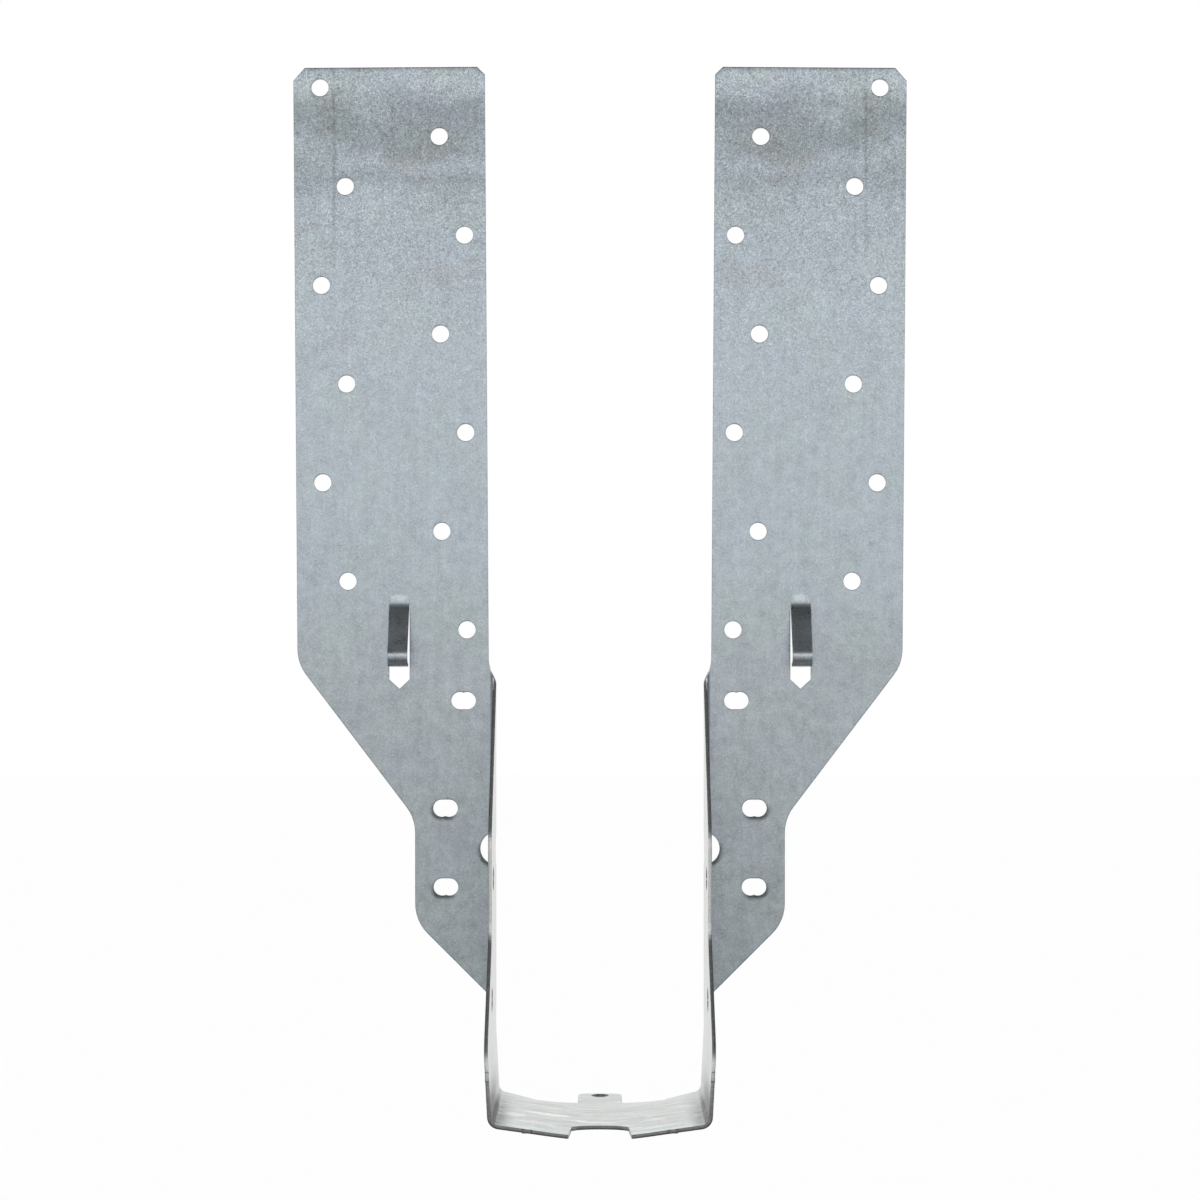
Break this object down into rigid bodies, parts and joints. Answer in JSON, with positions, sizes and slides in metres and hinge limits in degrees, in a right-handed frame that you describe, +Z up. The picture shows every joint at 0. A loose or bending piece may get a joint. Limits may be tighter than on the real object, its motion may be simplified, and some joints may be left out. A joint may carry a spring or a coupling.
{
  "type": "joist hanger",
  "caption": "Joist hanger folded from galvanised sheet: nail-holed header straps, slim stepped legs, a shallow seat with a notch and a rear tab, and bent-out prongs. Carries a joist's end.",
  "frame": {"origin": "middle of the joist's width, on the plane of the header's face, at the height of the seat's inner corners", "axes": "+Z up along the straps, +Y from the joist into the header, X across the joist"},
  "size_m": [0.1554, 0.0636, 0.2631],
  "materials": {
    "galvanised_sheet": "matt zinc coating, lightly mottled"
  },
  "bodies": {
    "root": {"hanger_body": "galvanised_sheet"}
  },
  "joints": []
}
